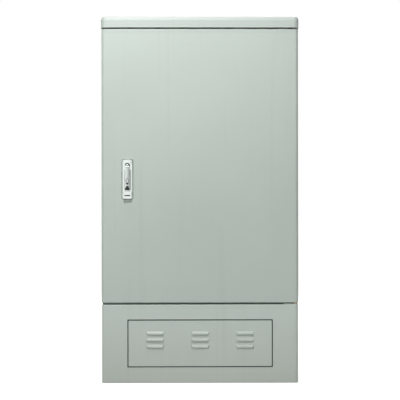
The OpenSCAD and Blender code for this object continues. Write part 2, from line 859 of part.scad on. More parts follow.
module door_panel() {
    w = door_w;
    h = door_z1 - door_z0;
    deep = 2 * door_t + 2 * edge_r;
    color("#c3cec5") difference() {
        translate([0, door_y + deep / 2, door_z0])
            rimmed_block(w, deep, h, edge_r, door_edge, door_edge);
        translate([0, door_y + deep / 2, door_z0 + sheet]) intersection() {
            linear_extrude(h - 2 * sheet)
                round_rect(w - 2 * sheet, deep - 2 * sheet, edge_r - sheet);
            translate([-w, -deep / 2, -1]) cube([2 * w, door_t - sheet, h + 2]);
        }
        translate([-w / 2 + door_return, door_back - sheet - 1, door_z0 + door_return])
            cube([w - 2 * door_return, sheet + 2, h - 2 * door_return]);
        translate([-w, door_back, door_z0 - 1]) cube([2 * w, deep, h + 2]);
        for (z = [door_z0 - 1, door_z1 - sheet - 1])
            at_hinge(z) cylinder(r = pin_r + bush_wall + 0.02, h = sheet + 2);
        at_lock() {
            translate([0, -1, 0]) rod_along_y(shaft_r + 2, sheet + 2);
            translate([0, -1, clamp_drop]) rod_along_y(screw_r + 0.7, sheet + 2);
        }
    }
}

module door_gasket() {
    color("#222426") translate([0, door_y + sheet, 0])
        frame_xz(lip_x + gasket_w / 2 - sheet / 2, lip_z0 - gasket_w / 2 + sheet / 2,
            lip_z1 + gasket_w / 2 - sheet / 2, gasket_t, gasket_w);
}

stiff_x = [-door_w / 6, door_w / 5];
stiff_w = 40;
stiff_d = 12;
stiff_z0 = lip_z0 + 30;
stiff_z1 = lip_z1 - 30;

// Hat shaped pressings along the inside of the door skin
module door_stiffeners() {
    count = floor((stiff_z1 - stiff_z0 - 40) / 50);
    color("#aeb8b0") for (x = stiff_x) difference() {
        translate([x, door_y + sheet, stiff_z0]) linear_extrude(stiff_z1 - stiff_z0)
            difference() {
                union() {
                    translate([-stiff_w / 2, 0]) square([stiff_w, stiff_d]);
                    translate([-stiff_w / 2 - 12, 0]) square([stiff_w + 24, 1.5]);
                }
                translate([-stiff_w / 2 + 1.5, -1]) square([stiff_w - 3, stiff_d - 0.5]);
            }
        for (k = [0:count]) translate([x, door_y + sheet + stiff_d - 3,
            stiff_z0 + 20 + k * 50]) rod_along_y(4.5, 5);
    }
}

module pivot_blocks() {
    h = 18;
    block_y = door_back - sheet - 0.2;
    block_front = door_y + sheet + 3;
    w = 20;
    color("#aeb8b0") for (z = [door_z0 + sheet, door_z1 - sheet - h])
        translate([hinge_x - 2, (block_y + block_front) / 2, z]) difference() {
            linear_extrude(h) round_rect(w, block_y - block_front, 6);
            translate([2, hinge_y - (block_y + block_front) / 2, -1])
                cylinder(r = pin_r + bush_wall + 0.02, h = h + 2);
        }
}

module bush() {
    difference() {
        union() {
            cylinder(r = pin_r + bush_wall, h = pin_in_door);
            translate([0, 0, -bush_flange_t]) cylinder(r = bush_flange_r, h = bush_flange_t);
        }
        translate([0, 0, -bush_flange_t - 1])
            cylinder(r = pin_r + run_fit, h = pin_in_door + bush_flange_t + 2);
    }
}

module hinge_bushes() {
    color("#c9a24a") {
        at_hinge(door_z0) bush();
        at_hinge(door_z1) mirror([0, 0, 1]) bush();
    }
}

pocket_w = stiff_x[1] - stiff_x[0] + stiff_w;
pocket_h = 190;
pocket_d = 24;
pocket_x = (stiff_x[0] + stiff_x[1]) / 2;
pocket_z = door_z0 + 260;
pocket_t = 2;

module document_pocket() {
    y0 = door_y + sheet + stiff_d;
    color("#d9d4c0") translate([pocket_x, y0, pocket_z]) difference() {
        translate([-pocket_w / 2, 0, 0]) cube([pocket_w, pocket_d, pocket_h]);
        translate([-pocket_w / 2 + pocket_t, pocket_t, pocket_t])
            cube([pocket_w - 2 * pocket_t, pocket_d - 2 * pocket_t, pocket_h]);
        translate([0, pocket_d + 1, pocket_h + 12]) rotate([90, 0, 0])
            cylinder(r = 60, h = pocket_t + 2);
    }
}

module door_earth_stud() {
    color("silver") translate([hinge_x - 60, door_y + sheet, door_z0 + 70]) {
        rod_along_y(stud_r - 1, 16);
        translate([0, 4, 0]) rotate([-90, 0, 0]) cylinder(r = 6.5, h = 5, $fn = 6);
    }
}

// Lock: plate, hub and lever outside the door

plate_bottom = plate_top - plate_h;
clamp_drop = plate_bottom + 5.5;
gasket_lip = 0.7;

module lock_plate() {
    slot_w = 22;
    color("#dfe3e2") at_lock() difference() {
        union() {
            translate([0, -lock_gasket_t, (plate_top + plate_bottom) / 2]) rotate([90, 0, 0])
                bevelled_block(plate_w, plate_h, plate_t, 3, block_bevel);
            difference() {
                plate_block(horn_z, plate_top - 0.5);
                translate([0, plate_y - block_out - 1, 0])
                    rod_along_y(washer_r + 0.4, block_out + 1);
            }
            plate_block(plate_bottom + 0.5, -lever_l - tip_gap);
            translate([-rail_x - rail_w, lever_back + 0.2, key_z - 28])
                cube([rail_w, cam_room - 0.2 + eps, 56]);
            translate([rail_x, plate_y - 1.3, key_z - 28]) cube([rail_w, 1.3 + eps, 56]);
            translate([0, -lock_gasket_t, clamp_drop]) rod_along_y(screw_r, 16);
        }
        translate([0, plate_y - 1, 0]) rod_along_y(shaft_r + run_fit, plate_t + 2);
        translate([-slot_w / 2, plate_y - block_out - 1, plate_bottom + 10])
            cube([slot_w, block_out + plate_t + 2, 4]);
        translate([-rail_x - rail_w + 1.5, plate_y - 4.2, key_z - 10])
            cube([rail_w, 2.2, 20]);
    }
}

// A block that stands out from the lock plate, from the height z0 to z1
module plate_block(z0, z1) {
    translate([0, plate_y + eps, (z0 + z1) / 2]) rotate([90, 0, 0])
        bevelled_block(2 * block_x, z1 - z0, block_out, 2, block_bevel);
}

module lock_gasket() {
    color("#222426") at_lock() difference() {
        translate([0, 0, (plate_top + plate_bottom) / 2]) rotate([90, 0, 0])
            linear_extrude(lock_gasket_t)
                round_rect(plate_w + 2 * gasket_lip, plate_h + 2 * gasket_lip, 3 + gasket_lip);
        translate([0, -2, 0]) rod_along_y(shaft_r + 1, 4);
        translate([0, -2, clamp_drop]) rod_along_y(screw_r + run_fit, 4);
    }
}

module hub_washer() {
    color("#26282a") at_lock() translate([0, plate_y - hub_washer_t, 0]) difference() {
        rod_along_y(washer_r, hub_washer_t);
        translate([0, -1, 0]) rod_along_y(shaft_r + 0.3, hub_washer_t + 2);
    }
}

// The hub below the spindle's line, with a rounded front edge
module hub_turned() {
    r_e = 2;
    l = plate_y - hub_gap - hub_front;
    translate([0, 0, -hub_drop]) rotate([90, 0, 0]) union() {
        cylinder(r = hub_r, h = l - r_e);
        translate([0, 0, l - r_e]) rotate_extrude() {
            square([hub_r - r_e, r_e]);
            translate([hub_r - r_e, 0]) quarter(r_e);
        }
    }
}

module handle_spindle() {
    fork_x = tongue_x + fork_gap;
    fork_z = -hub_drop - hub_r - 1;
    square_l = gear_w + 3;
    color("#dfe3e2") at_lock() {
        difference() {
            translate([0, plate_y - hub_gap, 0]) hub_turned();
            translate([-fork_x, hub_front - 1, fork_z])
                cube([2 * fork_x, plate_y - hub_gap - hub_base_t - hub_front + 1,
                    lift_z + tongue_r + fork_gap - fork_z]);
            translate([-hub_r - 1, lift_y, lift_z]) rotate([0, 90, 0])
                cylinder(r = lift_r + 0.02, h = 2 * hub_r + 2);
        }
        difference() {
            union() {
                translate([0, plate_y - hub_gap - eps, 0])
                    rod_along_y(shaft_r, gear_y - plate_y + hub_gap);
                translate([-3.5, gear_y - 1, -3.5]) cube([7, square_l - 2, 7]);
            }
            translate([0, gear_y + 2, 0]) rod_along_y(2 + run_fit, square_l);
        }
    }
}

module lift_pin() {
    l = 2 * hub_r - 1.6;
    color("silver") at_lock() translate([-l / 2, lift_y, lift_z]) rotate([0, 90, 0])
        cylinder(r = lift_r, h = l);
}

// Rounded triangle, point up, that reaches r from its centre
module soft_triangle(r, round_r) {
    hull() for (a = [90, 210, 330])
        translate((r - round_r) * [cos(a), sin(a)]) circle(round_r, $fn = 32);
}

// Front outline of the lever below its shoulder
module lever_outline() {
    r_tip = 5;
    r_top = 3;
    w = lever_w;
    translate([-w / 2, -lever_l + r_tip]) square([w, lever_l + shoulder_z - r_tip - r_top]);
    translate([-w / 2 + r_tip, -lever_l]) square([w - 2 * r_tip, r_tip + 1]);
    translate([-w / 2 + r_top, shoulder_z - r_top - 1]) square([w - 2 * r_top, r_top + 1]);
    translate([-hub_r, shoulder_z - 1]) square([2 * hub_r, neck_top - shoulder_z + 1]);
    for (s = [-1, 1]) {
        translate([s * (w / 2 - r_tip), -lever_l + r_tip]) circle(r_tip);
        translate([s * (w / 2 - r_top), shoulder_z - r_top]) circle(r_top);
    }
}

module lever() {
    neck_t = 7;
    side_r = 34;
    color("#dfe3e2") at_lock() difference() {
        union() {
            intersection() {
                translate([0, lever_back, 0]) rotate([90, 0, 0]) linear_extrude(lever_t)
                    lever_outline();
                translate([0, lever_front + side_r, -lever_l - 1])
                    cylinder(r = side_r, h = lever_l + 1, $fn = 128);
            }
            translate([-tongue_x, lift_y, lift_z]) rotate([0, 90, 0])
                cylinder(r = tongue_r, h = 2 * tongue_x);
            translate([-tongue_x, lift_y - neck_t / 2, shoulder_z - 1])
                cube([2 * tongue_x, neck_t, lift_z - shoulder_z + 1]);
        }
        translate([-tongue_x - 1, lift_y, lift_z]) rotate([0, 90, 0])
            cylinder(r = lift_r + run_fit, h = 2 * tongue_x + 2);
        translate([0, lever_front - 1, key_z]) rod_along_y(barrel_r + run_fit, lever_t + 2);
        translate([0, lever_front - 1, rivet_z]) rod_along_y(1.52, 7);
        translate([0, keyhole_y, 0]) rotate([90, 0, 0]) linear_extrude(4)
            keyhole_outline(0.1);
        translate([0, lever_front + lever_t - 1.5, button_z]) rotate([90, 0, 0])
            linear_extrude(lever_t) soft_triangle(button_r + button_gap, 4 + button_gap);
        translate([0, lever_front + 0.3, (key_z + rivet_z) / 2]) rotate([90, 0, 0])
            linear_extrude(2) square([lever_w - 6, 28], center = true);
    }
}

module cover_rivet() {
    color("#3b3e40") at_lock() {
        translate([0, lever_front - cover_t - 0.5, rivet_z]) rod_along_y(1.5, cover_t + 6);
        translate([0, lever_front - cover_t - 0.6, rivet_z]) rod_along_y(2.9, 0.7);
    }
}

// Drop shaped outline of the insert round the keyhole, with g of clearance
module keyhole_outline(g) {
    hull() {
        translate([0, key_z]) circle(barrel_r + 1.8 + g, $fn = 48);
        translate([0, rivet_z]) circle(4.4 + g, $fn = 48);
    }
}

module keyhole_surround() {
    color("#26282a") at_lock() difference() {
        translate([0, keyhole_y, 0]) rotate([90, 0, 0]) linear_extrude(1.2) keyhole_outline(0);
        translate([0, keyhole_y - 3, key_z]) rod_along_y(barrel_r + 0.3, 6);
        translate([0, keyhole_y - 3, rivet_z]) rod_along_y(1.52, 6);
    }
}

module dust_cover() {
    y = lever_front + 0.2;
    color("#c8cccb") at_lock() difference() {
        translate([0, y, 0]) rotate([90, 0, 0]) linear_extrude(cover_t - 0.2) hull() {
            translate([0, key_z]) circle(barrel_r + 0.3, $fn = 48);
            translate([0, rivet_z]) circle(3, $fn = 32);
        }
        translate([0, lever_front - 3, rivet_z]) rod_along_y(1.56, 6);
    }
}

module lock_barrel() {
    l = lever_t + 1.2;
    color("#b8b0a0") at_lock() translate([0, lever_front + 0.4, key_z]) difference() {
        rod_along_y(barrel_r, l - 0.6);
        translate([-0.8, -1, -3.2]) cube([1.6, 8, 6.4]);
    }
}

module lock_cam() {
    y = lever_back + 1;
    color("#8d8f90") at_lock() translate([0, y, key_z]) {
        rod_along_y(5, cam_t);
        translate([-3, 0, -cam_l]) cube([6, cam_t, cam_l]);
    }
}

module release_button() {
    color("#2a2c2e") at_lock() translate([0, lever_front + 6, button_z]) rotate([90, 0, 0])
        linear_extrude(5.5) soft_triangle(button_r, 4);
}

// Lock: pinion, racks and rods behind the door skin

function flank_angle(t) = half_base - (t * 180 / PI - atan(t));
function flank_radius(t) = base_r * sqrt(1 + t * t);
pressure = 20;
base_r = pitch_r * cos(pressure);
tip_r = pitch_r + 0.9 * gear_m;
root_r = pitch_r - 1.2 * gear_m;
half_base = 90 / gear_n + (tan(pressure) * 180 / PI - pressure)
    - backlash / 2 / pitch_r * 180 / PI;
flank_end = sqrt(pow(tip_r / base_r, 2) - 1);
flank_steps = 5;

// One tooth's points, root to root, about the angle a
function tooth(a) = concat(
    [root_r * [cos(a - half_base), sin(a - half_base)]],
    [for (i = [0:flank_steps]) let (t = flank_end * i / flank_steps, r = flank_radius(t),
        b = a - flank_angle(t)) r * [cos(b), sin(b)]],
    [for (i = [flank_steps:-1:0]) let (t = flank_end * i / flank_steps, r = flank_radius(t),
        b = a + flank_angle(t)) r * [cos(b), sin(b)]],
    [root_r * [cos(a + half_base), sin(a + half_base)]]);

module pinion() {
    color("#9b9da0") at_lock() translate([0, gear_y + gear_w, 0]) rotate([90, 0, 0])
        linear_extrude(gear_w) difference() {
            polygon([for (k = [0:gear_n - 1], p = tooth(k * 360 / gear_n)) p]);
            square(7.1, center = true);
        }
}

module spindle_screw() {
    color("silver") at_lock() translate([0, gear_y + gear_w + 0.1, 0]) {
        rod_along_y(5.5, 1.2);
        translate([0, 1.2 - eps, 0]) rod_along_y(3.4, 1.8);
        translate([0, -6, 0]) rod_along_y(2, 6 + eps);
    }
}

// One rack tooth's points, from below to above, about the height z
function rack_tooth(z, foot, top, tip) = [
    [rack_root, z - foot], [tip, z - top], [tip, z + top], [rack_root, z + foot]];

// Rack outline in the XZ plane with its teeth towards the pinion on its left
module rack_outline() {
    add = 0.8 * gear_m;
    teeth = floor((rack_half - 2) / tooth_pitch);
    top = tooth_pitch / 4 - backlash / 2 - add * tan(pressure);
    foot = tooth_pitch / 4 - backlash / 2 + (rack_root - pitch_r) * tan(pressure);
    polygon(concat([[rack_back, -rack_half], [rack_root, -rack_half]],
        [for (k = [-teeth:teeth - 1], p = rack_tooth((k + 0.5) * tooth_pitch, foot, top,
            pitch_r - add)) p],
        [[rack_root, rack_half], [rack_back, rack_half]]));
}

// side is 1 for the rack right of the spindle, and its rod hangs down; -1 is its mirror
module rack(side) {
    at_lock() mirror([side > 0 ? 0 : 1, 0, 0]) difference() {
        translate([0, gear_y + gear_w, 0]) rotate([90, 0, 0]) linear_extrude(gear_w)
            rack_outline();
        translate([rod_x, rod_y, -side * (rack_half + 1)]) mirror([0, 0, side > 0 ? 0 : 1])
            cylinder(r = screw_r + run_fit, h = 12);
    }
}

// A locking rod of length l above z = 0, with a spigot at its foot and a tapered tip
module rod(l) {
    tip = 8;
    translate([0, 0, -9]) cylinder(r = screw_r, h = 9 + eps);
    cylinder(r = rod_r, h = l - tip);
    translate([0, 0, l - tip - eps]) cylinder(r1 = rod_r, r2 = rod_r - 2, h = tip);
}

module upper_rack() { color("#9b9da0") rack(-1); }

module lower_rack() { color("#9b9da0") rack(1); }

module upper_rod() {
    color("silver") translate([lock_x - rod_x, door_y + rod_y, spindle_z + rack_half])
        rod(lip_z1 + rod_reach - spindle_z - rack_half);
}

module lower_rod() {
    color("silver") translate([lock_x + rod_x, door_y + rod_y, spindle_z - rack_half])
        mirror([0, 0, 1]) rod(spindle_z - rack_half - lip_z0 + rod_reach);
}

module gearbox_housing() {
    slide = 0.2;
    color("#a7a9ab") at_lock() difference() {
        union() {
            translate([-box_x, box_y0, -box_z]) cube([2 * box_x, box_y1 - box_y0, 2 * box_z]);
            translate([0, sheet, 0]) rod_along_y(13, box_y0 - sheet + eps);
        }
        translate([0, sheet - 1, 0]) rod_along_y(shaft_r + run_fit, box_y1);
        translate([0, gear_y - 0.5, 0]) rod_along_y(tip_r + 0.6, box_y1);
        for (s = [-1, 1]) mirror([s > 0 ? 0 : 1, 0, 0])
            translate([pitch_r - 2 * gear_m, gear_y - slide, -box_z - 1])
                cube([rack_back + slide - pitch_r + 2 * gear_m, box_y1, 2 * box_z + 2]);
        for (x = [-1, 1], z = [-1, 1]) translate([x * (box_x - 2.2), box_y1 - 6,
            z * (box_z - 4)]) rod_along_y(1.25 + run_fit, 8);
    }
}

module gearbox_cover() {
    color("#a7a9ab") at_lock() difference() {
        translate([-box_x, box_y1, -box_z]) cube([2 * box_x, cover_plate_t, 2 * box_z]);
        translate([0, box_y1 - 1, 0]) rod_along_y(7, cover_plate_t + 2);
        for (x = [-1, 1], z = [-1, 1]) translate([x * (box_x - 2.2), box_y1 - 1,
            z * (box_z - 4)]) rod_along_y(1.25 + run_fit, 6);
    }
}

module gearbox_screws() {
    color("silver") at_lock() for (x = [-1, 1], z = [-1, 1])
        translate([x * (box_x - 2.2), box_y1 + cover_plate_t, z * (box_z - 4)]) {
            rod_along_y(2.1, 1.4);
            translate([0, -6, 0]) rod_along_y(1.25, 6 + eps);
        }
}

// One guide with its rod at x = 0, y = 0
module guide() {
    w = 2 * rod_r + 10;
    difference() {
        union() {
            translate([-w / 2, -rod_y + sheet, -6]) cube([w, rod_y - sheet, 12]);
            cylinder(r = w / 2, h = 12, center = true);
            translate([-w / 2 - 10, -rod_y + sheet, -6]) cube([w + 20, 2, 12]);
        }
        cylinder(r = rod_r + run_fit, h = 20, center = true);
    }
}

module rod_guides() {
    upper = lip_z1 - sheet - guide_gap;
    lower = lip_z0 + sheet + guide_gap;
    color("#2f3234") {
        for (z = [upper, (upper + spindle_z) / 2 + 20])
            translate([lock_x - rod_x, door_y + rod_y, z]) guide();
        for (z = [lower, (lower + spindle_z) / 2 - 40])
            translate([lock_x + rod_x, door_y + rod_y, z]) guide();
    }
}

module lock_clamp() {
    color("#9b9da0") at_lock() translate([0, sheet, clamp_drop]) difference() {
        union() {
            translate([-15, 0, -7]) cube([30, 3, 14]);
            translate([0, 3 - eps, 0]) rotate([-90, 0, 0]) cylinder(r = 5, h = 5, $fn = 6);
        }
        translate([0, -1, 0]) rod_along_y(screw_r + run_fit, 12);
    }
}

roof_cap();
roof_bolts();
cabinet_shell();
door_frame();
plinth();
vent_panel();
panel_wing_nuts();
vent_screens();
gland_plate();
gland_plate_screws();
gland_bodies();
gland_caps();
gland_seals();
gland_locknuts();
side_rails();
mounting_plate();
plate_standoffs();
plate_nuts();
din_rails();
terminal_blocks();
end_stops();
cable_clamp_rail();
earth_bar();
earth_insulators();
earth_screws();
hinge_bracket_top();
hinge_bracket_bottom();
hinge_pins();
thrust_washer();
hinge_screws();
door_panel();
door_gasket();
door_stiffeners();
pivot_blocks();
hinge_bushes();
document_pocket();
lock_plate();
lock_gasket();
hub_washer();
gearbox_housing();
gearbox_cover();
gearbox_screws();
rod_guides();
lock_clamp();
door_earth_stud();
handle_spindle();
pinion();
spindle_screw();
lift_pin();
lever();
cover_rivet();
keyhole_surround();
dust_cover();
lock_barrel();
lock_cam();
release_button();
upper_rack();
upper_rod();
lower_rack();
lower_rod();
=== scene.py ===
"""Finishes, small fittings, floor, lights and camera for a sheet steel roadside cabinet."""

import json
import math

import bpy
from mathutils import Matrix, Vector


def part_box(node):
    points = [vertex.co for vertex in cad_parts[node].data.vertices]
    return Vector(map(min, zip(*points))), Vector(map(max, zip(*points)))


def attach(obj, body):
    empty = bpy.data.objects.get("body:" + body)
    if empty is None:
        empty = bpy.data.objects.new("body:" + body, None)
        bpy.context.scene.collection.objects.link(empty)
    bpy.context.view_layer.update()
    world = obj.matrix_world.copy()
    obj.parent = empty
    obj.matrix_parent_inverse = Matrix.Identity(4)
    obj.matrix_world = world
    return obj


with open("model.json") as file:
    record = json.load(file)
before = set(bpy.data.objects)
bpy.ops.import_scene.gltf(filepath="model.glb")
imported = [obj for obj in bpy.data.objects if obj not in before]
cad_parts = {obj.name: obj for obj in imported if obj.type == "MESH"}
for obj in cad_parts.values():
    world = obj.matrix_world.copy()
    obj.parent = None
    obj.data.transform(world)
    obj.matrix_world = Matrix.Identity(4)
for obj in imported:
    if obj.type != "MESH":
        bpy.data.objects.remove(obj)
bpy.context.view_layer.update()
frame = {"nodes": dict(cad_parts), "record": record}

# Sizes of the CAD solids that the small fittings follow, in metres. HAT_W is the width of a door
# stiffener without its two flanges.
TERMINAL_COUNT = 24
TERMINAL_PITCH = 0.010
TERMINAL_W = 0.0097
DIN_RAIL_H = 0.035
DIN_RAIL_T = 0.001
HAT_W = 0.040
FLANGE_W = 0.012
FLANGE_T = 0.0015

# Places of the small fittings, in metres. A fitting stands in its carrier by its SINK.
TERMINAL_SCREW_RISE = 0.0088
TERMINAL_SINK = 0.0003
RAIL_SCREW_X = 0.21
WELDS_IN_ROW = 10
WELD_END = 0.03
WELD_SINK = 0.00005

# Each lamp's name, place, aim, width in metres and power in watts
LAMPS = (
    ("key", (-0.42, -1.8, 2.4), (-0.1, 0, 0.9), 0.5, 35),
    ("fill", (-1.5, -3.6, 0.7), (0, 0, 0.5), 1.6, 8.5),
    ("right_side", (2.6, 2.6, 1.3), (0.3, 0, 0.7), 1.5, 26),
    ("left_side", (-2.6, 2.6, 1.3), (-0.3, 0, 0.7), 1.5, 20),
    ("back", (0.5, 3.6, 1.6), (0, 0, 0.7), 1.8, 22),
    ("top", (-0.3, -0.5, 2.9), (0, 0, 1.2), 1.2, 9),
)


def srgb(r, g, b):
    """A colour read as 0 to 255 on a screen, as the linear value that a shader takes."""
    def linear(value):
        value /= 255
        return value / 12.92 if value <= 0.04045 else ((value + 0.055) / 1.055) ** 2.4
    return (linear(r), linear(g), linear(b), 1.0)


def grey(value):
    """A neutral colour, from a linear value."""
    return (value, value, value, 1.0)


def tinted(colour, factor, lift=0.0):
    """The colour made paler or darker by a factor, and no brighter than white."""
    return tuple(min(1.0, c * factor + lift) for c in colour[:3]) + (1.0,)


def new_finish(name, colour, roughness, metallic=0.0):
    """A plain finish: its material, its shader and the object's own coordinates."""
    material = bpy.data.materials.new(name)
    material.use_nodes = True
    nodes = material.node_tree.nodes
    shader = nodes["Principled BSDF"]
    shader.inputs["Base Color"].default_value = colour
    shader.inputs["Roughness"].default_value = roughness
    shader.inputs["Metallic"].default_value = metallic
    place = nodes.new("ShaderNodeTexCoord").outputs["Object"]
    return material, shader, place


def stretched(tree, place, scale):
    """Coordinates stretched by a factor along each axis."""
    mapping = tree.nodes.new("ShaderNodeMapping")
    mapping.inputs["Scale"].default_value = scale
    tree.links.new(place, mapping.inputs["Vector"])
    return mapping.outputs["Vector"]


def noise(tree, place, scale, detail=3.0, roughness=0.5):
    """Cloudy variation; scale is in spots per metre."""
    node = tree.nodes.new("ShaderNodeTexNoise")
    node.inputs["Scale"].default_value = scale
    node.inputs["Detail"].default_value = detail
    node.inputs["Roughness"].default_value = roughness
    tree.links.new(place, node.inputs["Vector"])
    return node.outputs["Fac"]


def cells(tree, place, scale, output="Distance"):
    """Cell pattern, such as zinc spangle or the pores of rubber; scale is in cells per metre."""
    node = tree.nodes.new("ShaderNodeTexVoronoi")
    node.inputs["Scale"].default_value = scale
    tree.links.new(place, node.inputs["Vector"])
    return node.outputs[output]


def ramp(tree, factor, *stops):
    """Colour along a factor, between two (position, colour) stops."""
    node = tree.nodes.new("ShaderNodeValToRGB")
    for element, (position, colour) in zip(node.color_ramp.elements, stops):
        element.position = position
        element.color = colour
    tree.links.new(factor, node.inputs["Fac"])
    return node.outputs["Color"]


def spread(tree, factor, low, high, start=0.0, end=1.0):
    """A number from low to high as the factor goes from start to end."""
    node = tree.nodes.new("ShaderNodeMapRange")
    node.inputs["From Min"].default_value = start
    node.inputs["From Max"].default_value = end
    node.inputs["To Min"].default_value = low
    node.inputs["To Max"].default_value = high
    tree.links.new(factor, node.inputs["Value"])
    return node.outputs["Result"]


def mixed(tree, factor, first, colour):
    """The first colour with a plain one mixed in by a factor."""
    node = tree.nodes.new("ShaderNodeMix")
    node.data_type = "RGBA"
    # A Mix node's colours are its inputs 6 and 7, and the mixed colour is its output 2
    tree.links.new(factor, node.inputs["Factor"])
    tree.links.new(first, node.inputs[6])
    node.inputs[7].default_value = colour
    return node.outputs[2]


def feed(tree, value, socket):
    """Gives a socket its value, which is a number or another node's output."""
    if isinstance(value, (int, float)):
        socket.default_value = value
    else:
        tree.links.new(value, socket)


def calculated(tree, operation, first, second):
    """What a Math node makes of two values."""
    node = tree.nodes.new("ShaderNodeMath")
    node.operation = operation
    feed(tree, first, node.inputs[0])
    feed(tree, second, node.inputs[1])
    return node.outputs["Value"]


def blended(tree, factor, first, second):
    """A number between two values, by a factor."""
    node = tree.nodes.new("ShaderNodeMix")
    # A Mix node's numbers are its inputs 2 and 3, and the mixed number is its output 0
    tree.links.new(factor, node.inputs["Factor"])
    feed(tree, first, node.inputs[2])
    feed(tree, second, node.inputs[3])
    return node.outputs[0]


def relief(tree, shader, height, strength, depth):
    """A relief of the given depth in metres on the shader's surface."""
    bump = tree.nodes.new("ShaderNodeBump")
    bump.inputs["Strength"].default_value = strength
    bump.inputs["Distance"].default_value = depth
    tree.links.new(height, bump.inputs["Height"])
    tree.links.new(bump.outputs["Normal"], shader.inputs["Normal"])


def powder_coat(name, colour, darker_at_ground, gloss=0.42):
    """Grey-green powder coat with its orange peel and faint rain marks; its colour turns darker
    towards the ground.
    """
    material, shader, place = new_finish(name, colour, gloss)
    tree = material.node_tree
    clouds = noise(tree, place, scale=2.2, detail=4)
    paint = ramp(tree, clouds, (0.3, tinted(colour, 0.965)), (0.7, tinted(colour, 1.03)))
    runs = noise(tree, stretched(tree, place, (38, 38, 1.1)), scale=1.0)
    run_mask = spread(tree, runs, 0.0, 0.10, start=0.58, end=0.80)
    streaked = mixed(tree, run_mask, paint, srgb(128, 134, 126))
    # The colour turns towards a darker beige near the ground, over the lowest 0.26 m, by the
    # given factor.
    split = tree.nodes.new("ShaderNodeSeparateXYZ")
    tree.links.new(place, split.inputs["Vector"])
    ground_darkening_mask = spread(tree, split.outputs["Z"], darker_at_ground, 0.0, end=0.26)
    ground_darkened = mixed(tree, ground_darkening_mask, streaked, srgb(150, 150, 136))
    tree.links.new(ground_darkened, shader.inputs["Base Color"])
    tree.links.new(spread(tree, clouds, gloss - 0.05, gloss + 0.08), shader.inputs["Roughness"])
    peel = noise(tree, place, scale=620, detail=2)
    relief(tree, shader, peel, strength=0.10, depth=0.0004)
    shader.inputs["Coat Weight"].default_value = 0.12
    shader.inputs["Coat Roughness"].default_value = 0.25
    return material


def textured_coat(name, colour):
    """Fine leather-grain powder coat of the cabinet's walls and inner faces."""
    material, shader, place = new_finish(name, colour, 0.55)
    tree = material.node_tree
    clouds = noise(tree, place, scale=3.0, detail=4)
    paint = ramp(tree, clouds, (0.3, tinted(colour, 0.95)), (0.7, tinted(colour, 1.03)))
    tree.links.new(paint, shader.inputs["Base Color"])
    grain = noise(tree, place, scale=900, roughness=0.6)
    tree.links.new(spread(tree, grain, 0.48, 0.64), shader.inputs["Roughness"])
    relief(tree, shader, grain, strength=0.30, depth=0.0005)
    return material


def plated_steel(name, colour, roughness, spangle=0.0):
    """Zinc plated or bright steel with drawn lines; spangle adds the crystals of hot dip zinc."""
    material, shader, place = new_finish(name, colour, roughness, metallic=1.0)
    tree = material.node_tree
    lines = noise(tree, stretched(tree, place, (60, 60, 900)), scale=1.0)
    clouds = noise(tree, place, scale=14, detail=4)
    dark = tinted(colour, 0.90)
    base = ramp(tree, clouds, (0.32, dark), (0.68, tinted(colour, 1.04)))
    if spangle:
        grey_level = tree.nodes.new("ShaderNodeRGBToBW")
        tree.links.new(cells(tree, place, 120, "Color"), grey_level.inputs["Color"])
        base = mixed(tree, spread(tree, grey_level.outputs["Val"], 0, spangle), base, dark)
    tree.links.new(base, shader.inputs["Base Color"])
    tree.links.new(spread(tree, lines, roughness - 0.07, roughness + 0.10),
                   shader.inputs["Roughness"])
    relief(tree, shader, lines, strength=0.08, depth=0.0002)
    return material


def chrome(name, colour, roughness):
    """Satin chrome on a zinc casting: fine polish marks and a few finger smears."""
    material, shader, place = new_finish(name, colour, roughness, metallic=1.0)
    tree = material.node_tree
    smears = noise(tree, place, scale=55, detail=4, roughness=0.6)
    tree.links.new(ramp(tree, smears, (0.35, tinted(colour, 0.93)), (0.65, colour)),
                   shader.inputs["Base Color"])
    tree.links.new(spread(tree, smears, roughness - 0.05, roughness + 0.12, start=0.3, end=0.75),
                   shader.inputs["Roughness"])
    marks = noise(tree, stretched(tree, place, (400, 400, 2600)), scale=1.0, detail=2)
    relief(tree, shader, marks, strength=0.05, depth=0.0001)
    return material


def cast_metal(name, colour):
    """Matt die casting with its fine skin."""
    material, shader, place = new_finish(name, colour, 0.5, metallic=1.0)
    tree = material.node_tree
    clouds = noise(tree, place, scale=30, detail=4)
    tree.links.new(ramp(tree, clouds, (0.3, tinted(colour, 0.8)), (0.7, colour)),
                   shader.inputs["Base Color"])
    skin = noise(tree, place, scale=700, roughness=0.65)
    tree.links.new(spread(tree, skin, 0.42, 0.62), shader.inputs["Roughness"])
    relief(tree, shader, skin, strength=0.25, depth=0.0003)
    return material


def moulded_plastic(name, colour, roughness, grain=0.2):
    """Moulded plastic with a fine spark-eroded grain."""
    material, shader, place = new_finish(name, colour, roughness)
    tree = material.node_tree
    clouds = noise(tree, place, scale=24)
    pale = tinted(colour, 1.07, lift=0.003)
    tree.links.new(ramp(tree, clouds, (0.3, colour), (0.75, pale)), shader.inputs["Base Color"])
    skin = noise(tree, place, scale=1500, detail=2, roughness=0.6)
    tree.links.new(spread(tree, skin, roughness - 0.06, roughness + 0.10),
                   shader.inputs["Roughness"])
    relief(tree, shader, skin, strength=grain, depth=0.0002)
    return material


def foam_rubber(name, colour):
    """Foam rubber with its open pores."""
    material, shader, place = new_finish(name, colour, 0.85)
    tree = material.node_tree
    pores = cells(tree, place, 900)
    pale = tinted(colour, 1.7, lift=0.004)
    tree.links.new(ramp(tree, pores, (0.05, colour), (0.6, pale)), shader.inputs["Base Color"])
    tree.links.new(spread(tree, pores, 0.95, 0.75), shader.inputs["Roughness"])
    relief(tree, shader, pores, strength=0.5, depth=0.0004)
    return material


